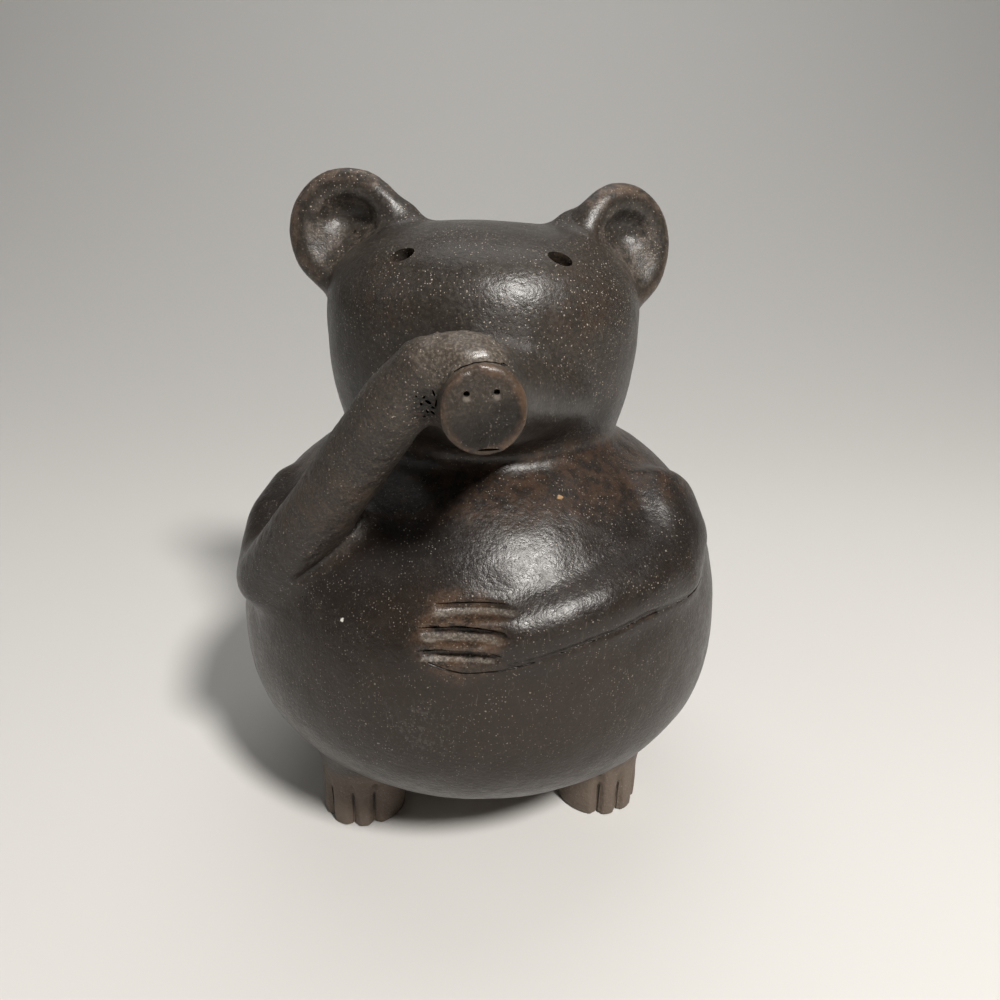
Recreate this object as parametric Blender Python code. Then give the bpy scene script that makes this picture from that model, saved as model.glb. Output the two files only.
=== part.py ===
"""A fired clay pig figurine: one hollow piece, standing on three stub feet.

A squat ball of a body carries a bell-shaped head. One arm stands free of the chest from the
elbow up to the hand laid over the snout, the other lies in low relief across the belly.
Lengths are in millimetres and angles in degrees; the solid itself is in metres.
Up is +Z, the face looks to -Y, and +X is the viewer's right.
"""
import math

import bmesh
import bpy
from mathutils import Matrix, Vector

MM = 0.001

# Body
BODY_R = 60.0
BODY_TOP = 53.1
BODY_BOTTOM = 38.4
BODY_TOP_POWER = 2.34
BODY_BOTTOM_POWER = 2.23
GROUND_GAP = 9.2

# Head
HEAD_R = 35.8
HEAD_TOP = 21.1
HEAD_BOTTOM = 47.4
HEAD_TOP_POWER = 2.55
HEAD_BOTTOM_POWER = 2.32
HEAD_SINK = 26.8
HEAD_FORWARD = 1.2
HEAD_SIDE = -0.5

# Clay wall and the two eye slits pierced through it
WALL = 6.0
EYE_AZIMUTH = 31.3
EYE_RISE = 14.3
EYE_LENGTH = 5.2
EYE_HEIGHT = 2.2
EYE_SLOPE = 27.0

# Snout: a flaring muzzle cut off flat
SNOUT_REACH = 32.0
SNOUT_DROP = 6.2
SNOUT_HALF_WIDTH = 7.1
SNOUT_HALF_HEIGHT = 7.7
SNOUT_TURN = 13.0
SNOUT_TILT = 6.0
SNOUT_SHIFT = 1.5
NOSTRIL_R = 0.9
NOSTRIL_DEPTH = 1.7
NOSTRIL_SPACING = 4.7
NOSTRIL_RISE = 2.2
MOUTH_LENGTH = 5.0
MOUTH_DROP = 6.0

# Ears: rounds pressed hollow with a thumb
EAR_R = 14.8
EAR_HALF_THICKNESS = 4.8
EAR_HOLLOW_R = 9.6
EAR_HOLLOW_DEPTH = 4.2
EAR_ROOT_PLACE = 0.62
EAR_ROOT_SPREAD = 0.93
EAR_BACK = 1.2
LEFT_EAR_INSET = 4.9
LEFT_EAR_DROP = 3.2
LEFT_EAR_TURN = -8.0
RIGHT_EAR_INSET = 5.3
RIGHT_EAR_DROP = 4.9
RIGHT_EAR_TURN = 34.0

# Raised arm, on the viewer's left; azimuths run from the front, heights are shares of the dome
SHOULDER_AZIMUTH = -79.0
SHOULDER_HEIGHT = 0.66
SHOULDER_R = 7.2
ELBOW_AZIMUTH = -53.8
ELBOW_HEIGHT = 0.39
ELBOW_R = 7.7
FOREARM_R = 6.9
WRIST_R = 6.3
HAND_HALF_WIDTH = 5.0
HAND_HALF_THICKNESS = 2.5
FINGER_GROOVE = 0.55

# Arm in relief, on the viewer's right: azimuth, height, share of the width, share of the relief
RELIEF_HEIGHT = 2.7
RELIEF_HALF_WIDTH = 10.6
RELIEF_PATH = ((66, 0.72, 1.0, 1.35), (60, 0.60, 1.0, 1.35), (52, 0.51, 0.86, 1.15), (40, 0.49, 0.66, 1.0),
               (27, 0.455, 0.63, 1.0), (17, 0.42, 0.60, 0.95), (8, 0.39, 0.63, 0.85), (-1, 0.375, 0.68, 0.75),
               (-7, 0.373, 0.60, 0.60))
OUTLINE_GROOVE = 0.8
OUTLINE_PATH = ((60, 0.365), (52, 0.362), (45, 0.37), (38, 0.372), (31, 0.36), (25, 0.345), (17, 0.318),
                (10, 0.288), (5, 0.27), (-2, 0.262), (-7, 0.282))
FINGER_SLIT_LENGTH = 18.5
FINGER_SLIT_HEIGHT = 1.9
FINGER_SLIT_DEPTH = 2.1
FINGER_AZIMUTH = -2.9
FINGER_HEIGHT = 0.40
FINGER_PITCH = 4.2
FINGER_SLOPE = 3.0

# Feet
FOOT_R = 10.7
FOOT_FLARE = 1.28
FOOT_ROOT = 16.8
LEFT_FOOT = (-28.6, -22.9)
RIGHT_FOOT = (32.0, -16.6)
REAR_FOOT = (1.0, 30.0)
TOE_GROOVE = 1.1
LEFT_TOES = (-46.0, -7.0, 24.0)
RIGHT_TOES = (-4.0, 28.0, 66.0)

# Surface
GRAIN = 1.2
SOFTENING = 18
SKIN_FACES = 7000
SLIVER = 0.03

BODY_Z = GROUND_GAP + BODY_BOTTOM
HEAD_Z = BODY_Z + BODY_TOP + HEAD_BOTTOM - HEAD_SINK
HEAD_MIDDLE = (HEAD_SIDE, -HEAD_FORWARD, HEAD_Z)
FOOT_TOP = GROUND_GAP + FOOT_ROOT


def deg(angle):
    return math.radians(angle)


def add_object(name, bm):
    """A mesh object from millimetre geometry."""
    bmesh.ops.recalc_face_normals(bm, faces=bm.faces)
    for vert in bm.verts:
        vert.co *= MM
    mesh = bpy.data.meshes.new(name)
    bm.to_mesh(mesh)
    bm.free()
    ob = bpy.data.objects.new(name, mesh)
    bpy.context.scene.collection.objects.link(ob)
    return ob


def rings_to_object(name, rings, first=None, last=None):
    """Skins a row of closed rings and closes both ends, with a point where one is given."""
    bm = bmesh.new()
    rows = [[bm.verts.new(p) for p in ring] for ring in rings]
    count = len(rows[0])
    for low, high in zip(rows, rows[1:]):
        for i in range(count):
            j = (i + 1) % count
            bm.faces.new((low[i], low[j], high[j], high[i]))
    for row, tip in ((rows[0], first), (rows[-1], last)):
        if tip is None:
            bm.faces.new(row)
            continue
        point = bm.verts.new(tip)
        for i in range(count):
            bm.faces.new((row[i], row[(i + 1) % count], point))
    return add_object(name, bm)


def round_solid(name, centre, radius, top, bottom, top_power, bottom_power, segments=64, rows=32):
    """A turned solid whose profile is a fuller or leaner ellipse above and below its centre."""
    centre = Vector(centre)
    rings = []
    for k in range(1, rows):
        t = -math.pi / 2 + math.pi * k / rows
        power = top_power if t > 0 else bottom_power
        height = top if t > 0 else bottom
        r = radius * abs(math.cos(t)) ** (2 / power)
        z = math.copysign(height * abs(math.sin(t)) ** (2 / power), t)
        angles = [2 * math.pi * i / segments for i in range(segments)]
        rings.append([centre + Vector((r * math.cos(a), r * math.sin(a), z)) for a in angles])
    return rings_to_object(name, rings, centre - Vector((0, 0, bottom)), centre + Vector((0, 0, top)))


def oval(name, centre, half, turn=Matrix.Identity(3), segments=32, rows=16):
    """An ellipsoid with its own three half sizes and its own turn."""
    centre = Vector(centre)
    rings = []
    for k in range(1, rows):
        t = -math.pi / 2 + math.pi * k / rows
        ring = []
        for i in range(segments):
            a = 2 * math.pi * i / segments
            flat = Vector((half[0] * math.cos(t) * math.cos(a), half[1] * math.cos(t) * math.sin(a),
                           half[2] * math.sin(t)))
            ring.append(centre + turn @ flat)
        rings.append(ring)
    tip = turn @ Vector((0, 0, half[2]))
    return rings_to_object(name, rings, centre - tip, centre + tip)


def limb(name, stations, side, segments=24, blunt=0.8):
    """A limb through (centre, half size along side, half size across it), with rounded ends."""
    points = [Vector(s[0]) for s in stations]
    rings = []
    for k, (point, wide, thick) in enumerate(stations):
        before = points[max(k - 1, 0)]
        after = points[min(k + 1, len(points) - 1)]
        along = (after - before).normalized()
        u = (Vector(side) - along * along.dot(Vector(side))).normalized()
        v = along.cross(u)
        angles = [2 * math.pi * i / segments for i in range(segments)]

        def ring(shift, scale):
            base = Vector(point) + along * shift
            return [base + u * wide * scale * math.cos(a) + v * thick * scale * math.sin(a) for a in angles]

        reach = min(wide, thick) * blunt
        if k == 0:
            rings += [ring(-reach * math.sin(deg(t)), math.cos(deg(t))) for t in (80, 60, 35)]
            first = Vector(point) - along * reach
        rings.append(ring(0, 1))
        if k == len(stations) - 1:
            rings += [ring(reach * math.sin(deg(t)), math.cos(deg(t))) for t in (35, 60, 80)]
            last = Vector(point) + along * reach
    return rings_to_object(name, rings, first, last)


def use(ob, kind, **settings):
    """Adds one modifier and applies it."""
    modifier = ob.modifiers.new(kind.title(), kind)
    for key, value in settings.items():
        setattr(modifier, key, value)
    with bpy.context.temp_override(object=ob, active_object=ob, selected_objects=[ob]):
        bpy.ops.object.modifier_apply(modifier=modifier.name)


def joined(name, obs):
    """All the given objects as one mesh."""
    bm = bmesh.new()
    for ob in obs:
        bm.from_mesh(ob.data)
        bpy.data.objects.remove(ob)
    mesh = bpy.data.meshes.new(name)
    bm.to_mesh(mesh)
    bm.free()
    ob = bpy.data.objects.new(name, mesh)
    bpy.context.scene.collection.objects.link(ob)
    return ob


def cut(ob, cutter):
    """Takes the cutter's shape out, then the slivers that it leaves."""
    use(ob, "BOOLEAN", operation="DIFFERENCE", solver="EXACT", object=cutter)
    bpy.data.objects.remove(cutter)
    bm = bmesh.new()
    bm.from_mesh(ob.data)
    bmesh.ops.triangulate(bm, faces=bm.faces)
    bmesh.ops.dissolve_degenerate(bm, dist=SLIVER * MM, edges=bm.edges)
    bmesh.ops.triangulate(bm, faces=bm.faces)
    bm.to_mesh(ob.data)
    bm.free()


def body_radius(z):
    rise = z - BODY_Z
    height, power = (BODY_TOP, BODY_TOP_POWER) if rise > 0 else (BODY_BOTTOM, BODY_BOTTOM_POWER)
    return BODY_R * max(0.0, 1 - min(1.0, abs(rise) / height) ** power) ** (1 / power)


def on_body(azimuth, rise, out=0.0):
    """A point of the body's skin, by azimuth from the front and height as a share of the dome."""
    z = BODY_Z + rise * BODY_TOP
    r = body_radius(z)
    slope = (body_radius(z + 0.5) - body_radius(z - 0.5))
    normal = Vector((math.sin(deg(azimuth)), -math.cos(deg(azimuth)), -slope)).normalized()
    skin = Vector((r * math.sin(deg(azimuth)), -r * math.cos(deg(azimuth)), z))
    return skin + normal * out, normal


def head_level(rise):
    height, power = (HEAD_TOP, HEAD_TOP_POWER) if rise > 0 else (HEAD_BOTTOM, HEAD_BOTTOM_POWER)
    return HEAD_R * max(0.0, 1 - min(1.0, abs(rise) / height) ** power) ** (1 / power)


def on_head(azimuth, rise):
    r = head_level(rise)
    slope = head_level(rise + 0.5) - head_level(rise - 0.5)
    normal = Vector((math.sin(deg(azimuth)), -math.cos(deg(azimuth)), -slope)).normalized()
    skin = Vector(HEAD_MIDDLE) + Vector((r * math.sin(deg(azimuth)), -r * math.cos(deg(azimuth)), rise))
    return skin, normal


def facing(normal, up=Vector((0, 0, 1)), roll=0.0):
    """A turn whose own Z is the given outward direction, with X across and Y up, then rolled."""
    z = Vector(normal).normalized()
    x = up.cross(z).normalized()
    y = z.cross(x)
    turn = Matrix((x, y, z)).transposed()
    return turn @ Matrix.Rotation(deg(roll), 3, "Z")


def snout_frame():
    """The middle of the snout's flat end and the direction it looks in."""
    tip = Vector((SNOUT_SHIFT, -HEAD_FORWARD - HEAD_R - SNOUT_REACH, HEAD_Z - SNOUT_DROP))
    look = Vector((math.sin(deg(SNOUT_TURN)) * math.cos(deg(SNOUT_TILT)),
                   -math.cos(deg(SNOUT_TURN)) * math.cos(deg(SNOUT_TILT)), math.sin(deg(SNOUT_TILT))))
    return tip, look


def muzzle_stations():
    """Centre, half width and half height of the muzzle from inside the head to past its flat end.

    It flares into the cheeks and the chin, and sags below the forehead by a share of its half height.
    """
    tip = snout_frame()[0]
    root = Vector((0, -HEAD_FORWARD, HEAD_Z - SNOUT_DROP * 0.5))
    shape = ((0.36, 3.35, 1.56, 0.84), (0.44, 2.90, 1.48, 0.73), (0.52, 2.42, 1.38, 0.60),
             (0.60, 1.98, 1.26, 0.47), (0.68, 1.62, 1.17, 0.35), (0.76, 1.33, 1.13, 0.23),
             (0.83, 1.14, 1.07, 0.13), (0.90, 1.02, 1.02, 0.04), (1.04, 1.0, 1.0, 0.0))
    stations = []
    for t, w, h, sag in shape:
        centre = root.lerp(tip, t) - Vector((0, 0, SNOUT_HALF_HEIGHT * sag))
        stations.append((centre, SNOUT_HALF_WIDTH * w, SNOUT_HALF_HEIGHT * h))
    return stations


def ear(name, sign, inset, drop, turn_out):
    """One ear at the head's upper corner: a thick round and the hollow pressed into its front."""
    centre = Vector(HEAD_MIDDLE) + Vector((sign * (HEAD_R - inset), EAR_BACK, HEAD_TOP - drop))
    look = Vector((math.sin(deg(turn_out)), -math.cos(deg(turn_out)), 0.10))
    turn = facing(look)
    disc = oval(name, centre, (EAR_R, EAR_R, EAR_HALF_THICKNESS * 1.12), turn)
    inward = (Vector(HEAD_MIDDLE) - centre).normalized()
    roll = math.degrees(math.atan2(inward.z, inward.x)) + 90
    root = oval(name + "_root", centre + inward * EAR_R * EAR_ROOT_PLACE,
                (EAR_R * EAR_ROOT_SPREAD, EAR_R * 0.5, EAR_HALF_THICKNESS * 1.1), facing(look, roll=roll))
    front = centre + turn @ Vector((0, -0.5, EAR_HALF_THICKNESS + EAR_HOLLOW_R * 0.62 - EAR_HOLLOW_DEPTH))
    dent = oval(name + "_hollow", front, (EAR_HOLLOW_R * 1.05, EAR_HOLLOW_R, EAR_HOLLOW_R * 0.62), turn)
    return [disc, root], dent


def hand_stations():
    """The hand over the muzzle, from the wrist to the fingertips."""
    tip = snout_frame()[0]
    around = ((152, 1.42, 9.2), (131, 1.33, 8.2), (112, 1.20, 7.9), (91, 1.10, 8.4), (66, 1.02, 9.8))
    stations = []
    for k, (angle, share, back) in enumerate(around):
        r = SNOUT_HALF_HEIGHT * share
        x = tip.x - 0.6 + r * math.cos(deg(angle))
        z = tip.z - 0.4 + r * math.sin(deg(angle))
        wide = HAND_HALF_WIDTH * (1.0, 1.0, 1.0, 0.94, 0.80)[k]
        thick = HAND_HALF_THICKNESS * (1.9, 1.3, 1.05, 0.95, 0.85)[k]
        stations.append((Vector((x, tip.y + back, z)), wide, thick))
    return stations


def raised_arm():
    """Shoulder, elbow and free forearm, and the hand over the muzzle."""
    stations = []
    for t, out in ((0.0, -4.8), (0.38, -3.0), (1.0, -1.0)):
        azimuth = SHOULDER_AZIMUTH + (ELBOW_AZIMUTH - SHOULDER_AZIMUTH) * t
        height = SHOULDER_HEIGHT + (ELBOW_HEIGHT - SHOULDER_HEIGHT) * t
        radius = SHOULDER_R + (ELBOW_R - SHOULDER_R) * t
        stations.append((on_body(azimuth, height, out)[0], radius, radius))
    elbow = stations[-1][0]
    palm = hand_stations()
    wrist = palm[0][0]
    bow = ((0.17, 0.6, ELBOW_R), (0.42, 0.6, FOREARM_R), (0.66, 0.4, FOREARM_R * 0.96), (0.87, 0.2, WRIST_R))
    away = Vector((0.4, -0.5, -0.6))
    for t, push, r in bow:
        stations.append((elbow.lerp(wrist, t) + away * push, r, r))
    first = limb("upper_arm", stations[:3], (0, 1, 0))
    second = limb("forearm", stations[2:] + palm[:1], (0, 1, 0))
    third = limb("hand", palm, (0, 1, 0))
    return [first, second, third]


def relief_arm():
    """The arm laid across the belly, half sunk in the body."""
    stations = []
    rings = []
    for azimuth, rise, wide, high in RELIEF_PATH:
        depth = RELIEF_HEIGHT * 1.6
        centre, normal = on_body(azimuth, rise, RELIEF_HEIGHT * high - depth)
        stations.append((centre, normal, RELIEF_HALF_WIDTH * wide, depth))
    for k, (centre, normal, wide, depth) in enumerate(stations):
        before = stations[max(k - 1, 0)][0]
        after = stations[min(k + 1, len(stations) - 1)][0]
        along = (after - before).normalized()
        across = normal.cross(along).normalized()
        angles = [2 * math.pi * i / 24 for i in range(24)]

        def ring(shift, scale):
            base = centre + along * shift
            return [base + across * wide * scale * math.cos(a) + normal * depth * scale * math.sin(a)
                    for a in angles]

        if k == 0:
            rings += [ring(-wide * 0.8 * math.sin(deg(t)), math.cos(deg(t))) for t in (75, 50, 25)]
        rings.append(ring(0, 1))
        if k == len(stations) - 1:
            rings += [ring(wide * 0.5 * math.sin(deg(t)), math.cos(deg(t))) for t in (25, 50, 75)]
    return rings_to_object("relief_arm", rings)


def foot(name, place):
    """A stub foot that flares up into the belly and runs past the floor, to be cut flat."""
    x, y = place
    shape = ((-0.115, 0.95), (0.0, 0.97), (0.115, 1.0), (0.31, 1.0), (0.54, 1.07), (0.77, FOOT_FLARE),
             (1.0, FOOT_FLARE * 1.1))
    stations = []
    for share, k in shape:
        lean = 1 - 0.05 * share
        stations.append((Vector((x * lean, y * lean, FOOT_TOP * share)), FOOT_R * k, FOOT_R * k * 1.02))
    return limb(name, stations, (1, 0, 0), blunt=0.15)


def slot(name, centre, normal, length, height, depth, roll=0.0, up=Vector((0, 0, 1))):
    """A lens-shaped cutter lying along the surface."""
    return oval(name, centre, (length / 2, height / 2, depth), facing(normal, up, roll), segments=16, rows=8)


def groove(name, points, radius):
    """A thin round cutter along a line of surface points."""
    stations = [(p, radius, radius) for p in points]
    return limb(name, stations, (0.3, 0.2, 1.0), segments=8)


def skin():
    """Every solid mass, fused and softened into one skin."""
    masses = [round_solid("body", (0, 0, BODY_Z), BODY_R, BODY_TOP, BODY_BOTTOM, BODY_TOP_POWER,
                          BODY_BOTTOM_POWER),
              round_solid("head", HEAD_MIDDLE, HEAD_R, HEAD_TOP, HEAD_BOTTOM, HEAD_TOP_POWER,
                          HEAD_BOTTOM_POWER)]
    masses.append(limb("muzzle", muzzle_stations(), (1, 0, 0), segments=32, blunt=0.1))
    masses += raised_arm()
    masses.append(relief_arm())
    masses += [foot("left_foot", LEFT_FOOT), foot("right_foot", RIGHT_FOOT), foot("rear_foot", REAR_FOOT)]
    left_ear, left_hollow = ear("left_ear", -1, LEFT_EAR_INSET, LEFT_EAR_DROP, LEFT_EAR_TURN)
    right_ear, right_hollow = ear("right_ear", 1, RIGHT_EAR_INSET, RIGHT_EAR_DROP, RIGHT_EAR_TURN)
    masses += left_ear + right_ear
    ob = joined("pig_figurine", masses)
    use(ob, "REMESH", mode="VOXEL", voxel_size=GRAIN * MM)
    cut(ob, joined("ear_hollows", [left_hollow, right_hollow]))
    use(ob, "REMESH", mode="VOXEL", voxel_size=GRAIN * MM)
    use(ob, "SMOOTH", factor=0.5, iterations=SOFTENING)
    use(ob, "DECIMATE", decimate_type="COLLAPSE", ratio=min(1.0, SKIN_FACES / len(ob.data.polygons) / 2))
    return ob


def flats():
    """The cutters that take the soles and the snout's end off flat."""
    reach = BODY_R * 1.5
    corners = [(-reach, -reach), (reach, -reach), (reach, reach), (-reach, reach)]
    floor = rings_to_object("floor_cut", [[Vector((x, y, -20.0)) for x, y in corners],
                                          [Vector((x, y, 0.0)) for x, y in corners]])
    tip, look = snout_frame()
    turn = facing(look)
    span = SNOUT_HALF_HEIGHT * 1.6
    square = [(-span, -span), (span, -span), (span, span), (-span, span)]
    end = rings_to_object("snout_cut", [[tip + turn @ Vector((x, y, 0)) for x, y in square],
                                        [tip + turn @ Vector((x, y, 12.0)) for x, y in square]])
    return floor, end


def cavity():
    """The hollow of body and head, one wall thickness inside the skin."""
    body = round_solid("body_hollow", (0, 0, BODY_Z), BODY_R - WALL, BODY_TOP - WALL, BODY_BOTTOM - WALL,
                       BODY_TOP_POWER, BODY_BOTTOM_POWER, segments=28, rows=14)
    head = round_solid("head_hollow", HEAD_MIDDLE, HEAD_R - WALL, HEAD_TOP - WALL, HEAD_BOTTOM - WALL,
                       HEAD_TOP_POWER, HEAD_BOTTOM_POWER, segments=24, rows=12)
    use(body, "BOOLEAN", operation="UNION", solver="EXACT", object=head)
    bpy.data.objects.remove(head)
    return body


def eye(name, sign):
    """One slit, pierced from outside right into the hollow."""
    skin_point, normal = on_head(sign * EYE_AZIMUTH, EYE_RISE)
    turn = facing(normal, roll=-sign * EYE_SLOPE)
    rings = []
    for depth, k in ((2.0, 1.05), (-WALL * 1.7, 0.9)):
        ring = []
        for i in range(16):
            a = 2 * math.pi * i / 16
            flat = Vector((EYE_LENGTH / 2 * k * math.cos(a), EYE_HEIGHT / 2 * k * math.sin(a), depth))
            ring.append(skin_point + turn @ flat)
        rings.append(ring)
    return rings_to_object(name, rings)


def fine_cuts():
    """Nostrils, mouth, fingers, toes and the line under the relief arm."""
    cutters = []
    tip, look = snout_frame()
    turn = facing(look)
    for sign in (-1, 1):
        place = tip + turn @ Vector((sign * NOSTRIL_SPACING / 2 - 0.4, NOSTRIL_RISE + sign * 0.3, 0))
        half = (NOSTRIL_R, NOSTRIL_R, NOSTRIL_DEPTH)
        cutters.append(oval("nostril", place, half, turn, segments=10, rows=6))
    place = tip + turn @ Vector((0.8, -MOUTH_DROP, 0))
    cutters.append(oval("mouth", place, (MOUTH_LENGTH / 2, 0.3, 1.1), turn, segments=12, rows=6))
    for k, aside, share in ((1, 2.3, 0.93), (0, 0.0, 1.0), (-1, 0.0, 1.0)):
        rise = FINGER_HEIGHT + k * FINGER_PITCH / BODY_TOP
        centre, normal = on_body(FINGER_AZIMUTH + aside, rise, RELIEF_HEIGHT * 0.62)
        cutters.append(slot("finger_slit", centre, normal, FINGER_SLIT_LENGTH * share, FINGER_SLIT_HEIGHT,
                            FINGER_SLIT_DEPTH, FINGER_SLOPE))
    cutters.append(groove("relief_line", [on_body(a, z, 0.15)[0] for a, z in OUTLINE_PATH], OUTLINE_GROOVE))
    for place, angles in ((LEFT_FOOT, LEFT_TOES), (RIGHT_FOOT, RIGHT_TOES)):
        for angle in angles:
            out = Vector((math.sin(deg(angle)), -math.cos(deg(angle)), 0))
            low = Vector((place[0], place[1], -1.0)) + out * FOOT_R
            high = Vector((place[0], place[1], FOOT_TOP * 0.5)) + out * (FOOT_R * 1.07)
            cutters.append(groove("toe", [low, low.lerp(high, 0.5), high], TOE_GROOVE))
    palm = hand_stations()
    for share in (-0.55, 0.0, 0.5):
        points = []
        for centre, wide, thick in palm[1:]:
            away = Vector((centre.x - tip.x, 0, centre.z - tip.z)).normalized()
            lift = thick * math.sqrt(1 - share * share) * 0.96
            points.append(centre + away * lift + Vector((0, share * wide, 0)))
        cutters.append(groove("finger_line", points, FINGER_GROOVE))
    return cutters


def clay():
    """Dark burnished fired clay."""
    mat = bpy.data.materials.new("clay")
    mat.use_nodes = True
    shader = mat.node_tree.nodes["Principled BSDF"]
    shader.inputs["Base Color"].default_value = (0.052, 0.041, 0.034, 1.0)
    shader.inputs["Roughness"].default_value = 0.42
    return mat


for old in list(bpy.data.objects):
    bpy.data.objects.remove(old)

figurine = skin()
cut(figurine, cavity())
floor_cut, snout_cut = flats()
cut(figurine, floor_cut)
cut(figurine, snout_cut)
cut(figurine, joined("eyes", [eye("left_eye", -1), eye("right_eye", 1)]))
for cutter in fine_cuts():
    cut(figurine, cutter)

# Stands the piece on the floor with the middle of its outline over the origin.
xs = [v.co.x for v in figurine.data.vertices]
ys = [v.co.y for v in figurine.data.vertices]
zs = [v.co.z for v in figurine.data.vertices]
middle = Vector(((min(xs) + max(xs)) / 2, (min(ys) + max(ys)) / 2, min(zs)))
figurine.data.transform(Matrix.Translation(-middle))
figurine.data.materials.append(clay())
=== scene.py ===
"""The looks of a burnished fired clay pig figurine.

The clay is built up from turned and drawn-out masses, softened, carved, and then burnished.
Sizes are in millimetres about the figurine's own axis; the piece is set into the frame at the end.
"""

import math

import bmesh
import bpy
from mathutils import Matrix, Vector


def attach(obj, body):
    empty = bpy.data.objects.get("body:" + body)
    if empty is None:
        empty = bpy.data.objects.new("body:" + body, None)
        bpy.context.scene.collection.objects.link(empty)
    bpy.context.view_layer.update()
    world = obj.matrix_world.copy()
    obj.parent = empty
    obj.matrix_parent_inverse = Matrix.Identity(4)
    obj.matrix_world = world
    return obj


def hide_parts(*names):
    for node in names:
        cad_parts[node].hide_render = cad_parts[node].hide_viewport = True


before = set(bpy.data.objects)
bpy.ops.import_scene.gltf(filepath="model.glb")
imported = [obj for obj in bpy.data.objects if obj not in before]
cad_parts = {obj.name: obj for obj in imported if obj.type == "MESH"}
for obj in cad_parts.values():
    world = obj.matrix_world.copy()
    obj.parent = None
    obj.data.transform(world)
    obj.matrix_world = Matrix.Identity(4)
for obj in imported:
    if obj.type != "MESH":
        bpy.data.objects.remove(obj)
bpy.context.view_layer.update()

MM = 0.001
AXIS = Vector((0.054, 5.41, 0.0))

BODY_R = 59.75
BODY_TOP = 53.1
BODY_BOTTOM = 38.4
BODY_TOP_FULLNESS = 2.34
BODY_BOTTOM_FULLNESS = 2.23
BODY_Z = 47.6

HEAD_R = 35.8
HEAD_TOP = 21.1
HEAD_BOTTOM = 47.4
HEAD_TOP_FULLNESS = 2.55
HEAD_BOTTOM_FULLNESS = 2.32
HEAD = Vector((-0.5, -1.2, 121.3))

SNOUT_TIP = Vector((1.5, -69.0, 114.4))
SNOUT_TURN = 13.0
SNOUT_TILT = 6.0
SNOUT_HALF_WIDTH = 7.1
SNOUT_HALF_HEIGHT = 7.15
GRIP = Vector((0.9, -69.0, 114.7))
GRIP_R = 7.7
NOSTRIL_SPACING = 2.35
NOSTRIL_ASIDE = -0.1
NOSTRIL_LIFT = 0.1
HAND_WIDTH = 5.0
HAND_THICKNESS = 2.5

ELBOW = (-53.8, 0.39)
FINGERS = (-2.9, 0.398)
FINGER_PITCH = 4.15
RELIEF_HALF_WIDTH = 10.8
RELIEF_DEPTH = 4.6
RELIEF_LIFT = 3.4

WALL = 6.0
EAR_R = 14.8
EAR_HALF_THICKNESS = 4.8
EAR_HOLLOW_R = 12.0
EAR_HOLLOW_DEPTH = 5.6
LEFT_EAR = Vector((-31.4, 0.0, 138.7))
RIGHT_EAR = Vector((30.6, 0.0, 137.1))
LEFT_EAR_TURN = -8.0
RIGHT_EAR_TURN = 34.0

FEET = ((-28.6, -22.9), (32.0, -16.6), (1.0, 30.0))
FOOT_R = 10.7
FOOT_TOP = 26.0
TOES = ((-46.0, -7.0, 24.0), (-4.0, 28.0, 66.0))

COARSE = 1.2
MIDDLING = 0.8
FINE = 0.62
SKIN_FACES = 150000
CRISP_EDGE = 38.0


# The room: a pale floor that runs up behind the figurine, a soft key lamp and a fill.

def add_camera():
    """Looks down on the figurine from the front, with a slight roll."""
    camera = bpy.data.objects.new("camera", bpy.data.cameras.new("camera"))
    bpy.context.scene.collection.objects.link(camera)
    camera.data.sensor_width = 36.0
    camera.data.lens = 27.0
    camera.data.clip_start = 0.01
    pitch = math.radians(20.0)
    roll = math.radians(1.5)
    ahead = Vector((0, math.cos(pitch), -math.sin(pitch)))
    up = Vector((0, math.sin(pitch), math.cos(pitch)))
    right = Vector((1, 0, 0))
    rolled_right = right * math.cos(roll) + up * math.sin(roll)
    rolled_up = up * math.cos(roll) - right * math.sin(roll)
    place = Matrix((rolled_right, rolled_up, -ahead)).transposed().to_4x4()
    place.translation = Vector((0.0045, -0.17508, 0.1410))
    camera.matrix_world = place
    bpy.context.scene.camera = camera


def add_lamp(name, place, target, size, power, colour=(1.0, 1.0, 1.0)):
    """A round soft lamp turned to its target."""
    lamp = bpy.data.objects.new(name, bpy.data.lights.new(name, "AREA"))
    lamp.data.shape = "DISK"
    lamp.data.size = size
    lamp.data.energy = power
    lamp.data.color = colour
    lamp.location = place
    lamp.rotation_euler = (Vector(target) - Vector(place)).to_track_quat("-Z", "Y").to_euler()
    bpy.context.scene.collection.objects.link(lamp)


def around(azimuth, elevation, distance, centre=(0.0, 0.0, 0.075)):
    """A place by its direction from the front towards the viewer's right, its height and distance."""
    a = math.radians(azimuth)
    e = math.radians(elevation)
    way = Vector((math.sin(a) * math.cos(e), -math.cos(a) * math.cos(e), math.sin(e)))
    return Vector(centre) + distance * way


# Clay work: each helper ends with one mesh whose place is in its points.

def pick_nothing():
    """Lets go of everything, so that an operator acts only on what is picked next."""
    bpy.ops.object.select_all(action="DESELECT")


def pick(ob):
    """Picks one piece alone."""
    pick_nothing()
    ob.select_set(True)
    bpy.context.view_layer.objects.active = ob


def settle(name):
    """Fixes the new piece's place, turn and size into its points."""
    ob = bpy.context.active_object
    bpy.ops.object.transform_apply(location=True, rotation=True, scale=True)
    ob.name = name
    return ob


def ball(name, centre, half, turn=Matrix.Identity(3), segments=64, rings=32):
    """A ball pressed to its own three half sizes."""
    pick_nothing()
    bpy.ops.mesh.primitive_uv_sphere_add(segments=segments, ring_count=rings, radius=MM, scale=half,
                                         location=Vector(centre) * MM, rotation=turn.to_euler())
    return settle(name)


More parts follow.
